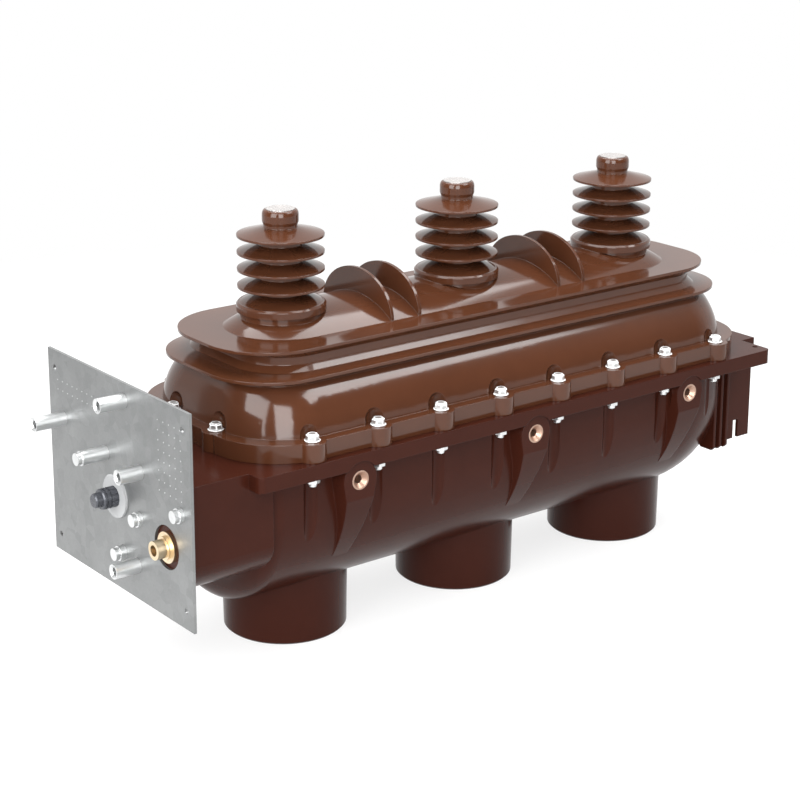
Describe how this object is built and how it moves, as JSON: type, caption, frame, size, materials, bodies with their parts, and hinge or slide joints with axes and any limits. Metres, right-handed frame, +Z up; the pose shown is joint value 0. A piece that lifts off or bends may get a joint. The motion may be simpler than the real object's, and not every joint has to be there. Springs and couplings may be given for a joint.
{
  "type": "gas-insulated load break switch",
  "caption": "Indoor load break switch in a gas-filled cast resin housing, with ribbed top insulators, open lower bushings and a steel front plate for the drive",
  "frame": {"origin": "centre of the middle lower bushing's mouth, on the floor plane", "axes": "+Z up, X along the row of poles with the front plate at -X, Y across"},
  "size_m": [0.84, 0.28, 0.447],
  "materials": {
    "upper_resin": "glossy warm brown cast resin",
    "lower_resin": "glossy dark reddish brown cast resin",
    "galvanised": "galvanised sheet and zinc-plated spacers",
    "silver_face": "dull silver-plated end face",
    "brass": "turned brass",
    "copper_insert": "reddish brass insert",
    "shaft_black": "blackened steel",
    "pale_disc": "pale plastic washer"
  },
  "bodies": {
    "housing": {"upper_housing": "upper_resin", "lower_housing": "lower_resin", "front_plate": "galvanised", "shaft_disc": "pale_disc", "filling_fitting": "brass", "top_terminal_1": "silver_face", "lower_contact_1": "silver_face", "near_insert_1": "copper_insert", "far_insert_1": "copper_insert", "short_spacer_1": "galvanised", "top_terminal_2": "silver_face", "lower_contact_2": "silver_face", "near_insert_2": "copper_insert", "far_insert_2": "copper_insert", "short_spacer_2": "galvanised", "top_terminal_3": "silver_face", "lower_contact_3": "silver_face", "near_insert_3": "copper_insert", "far_insert_3": "copper_insert", "short_spacer_3": "galvanised", "long_spacer_1": "galvanised", "long_spacer_2": "galvanised", "long_spacer_3": "galvanised", "long_spacer_4": "galvanised", "long_spacer_5": "galvanised"},
    "switch_shaft": {"operating_shaft": "shaft_black"}
  },
  "joints": [
    {"name": "shaft_turn", "type": "hinge", "parent": "housing", "child": "switch_shaft", "pos_m": [-0.428, 0, 0.185], "axis": [1, 0, 0], "range_deg": [-60, 60]}
  ]
}
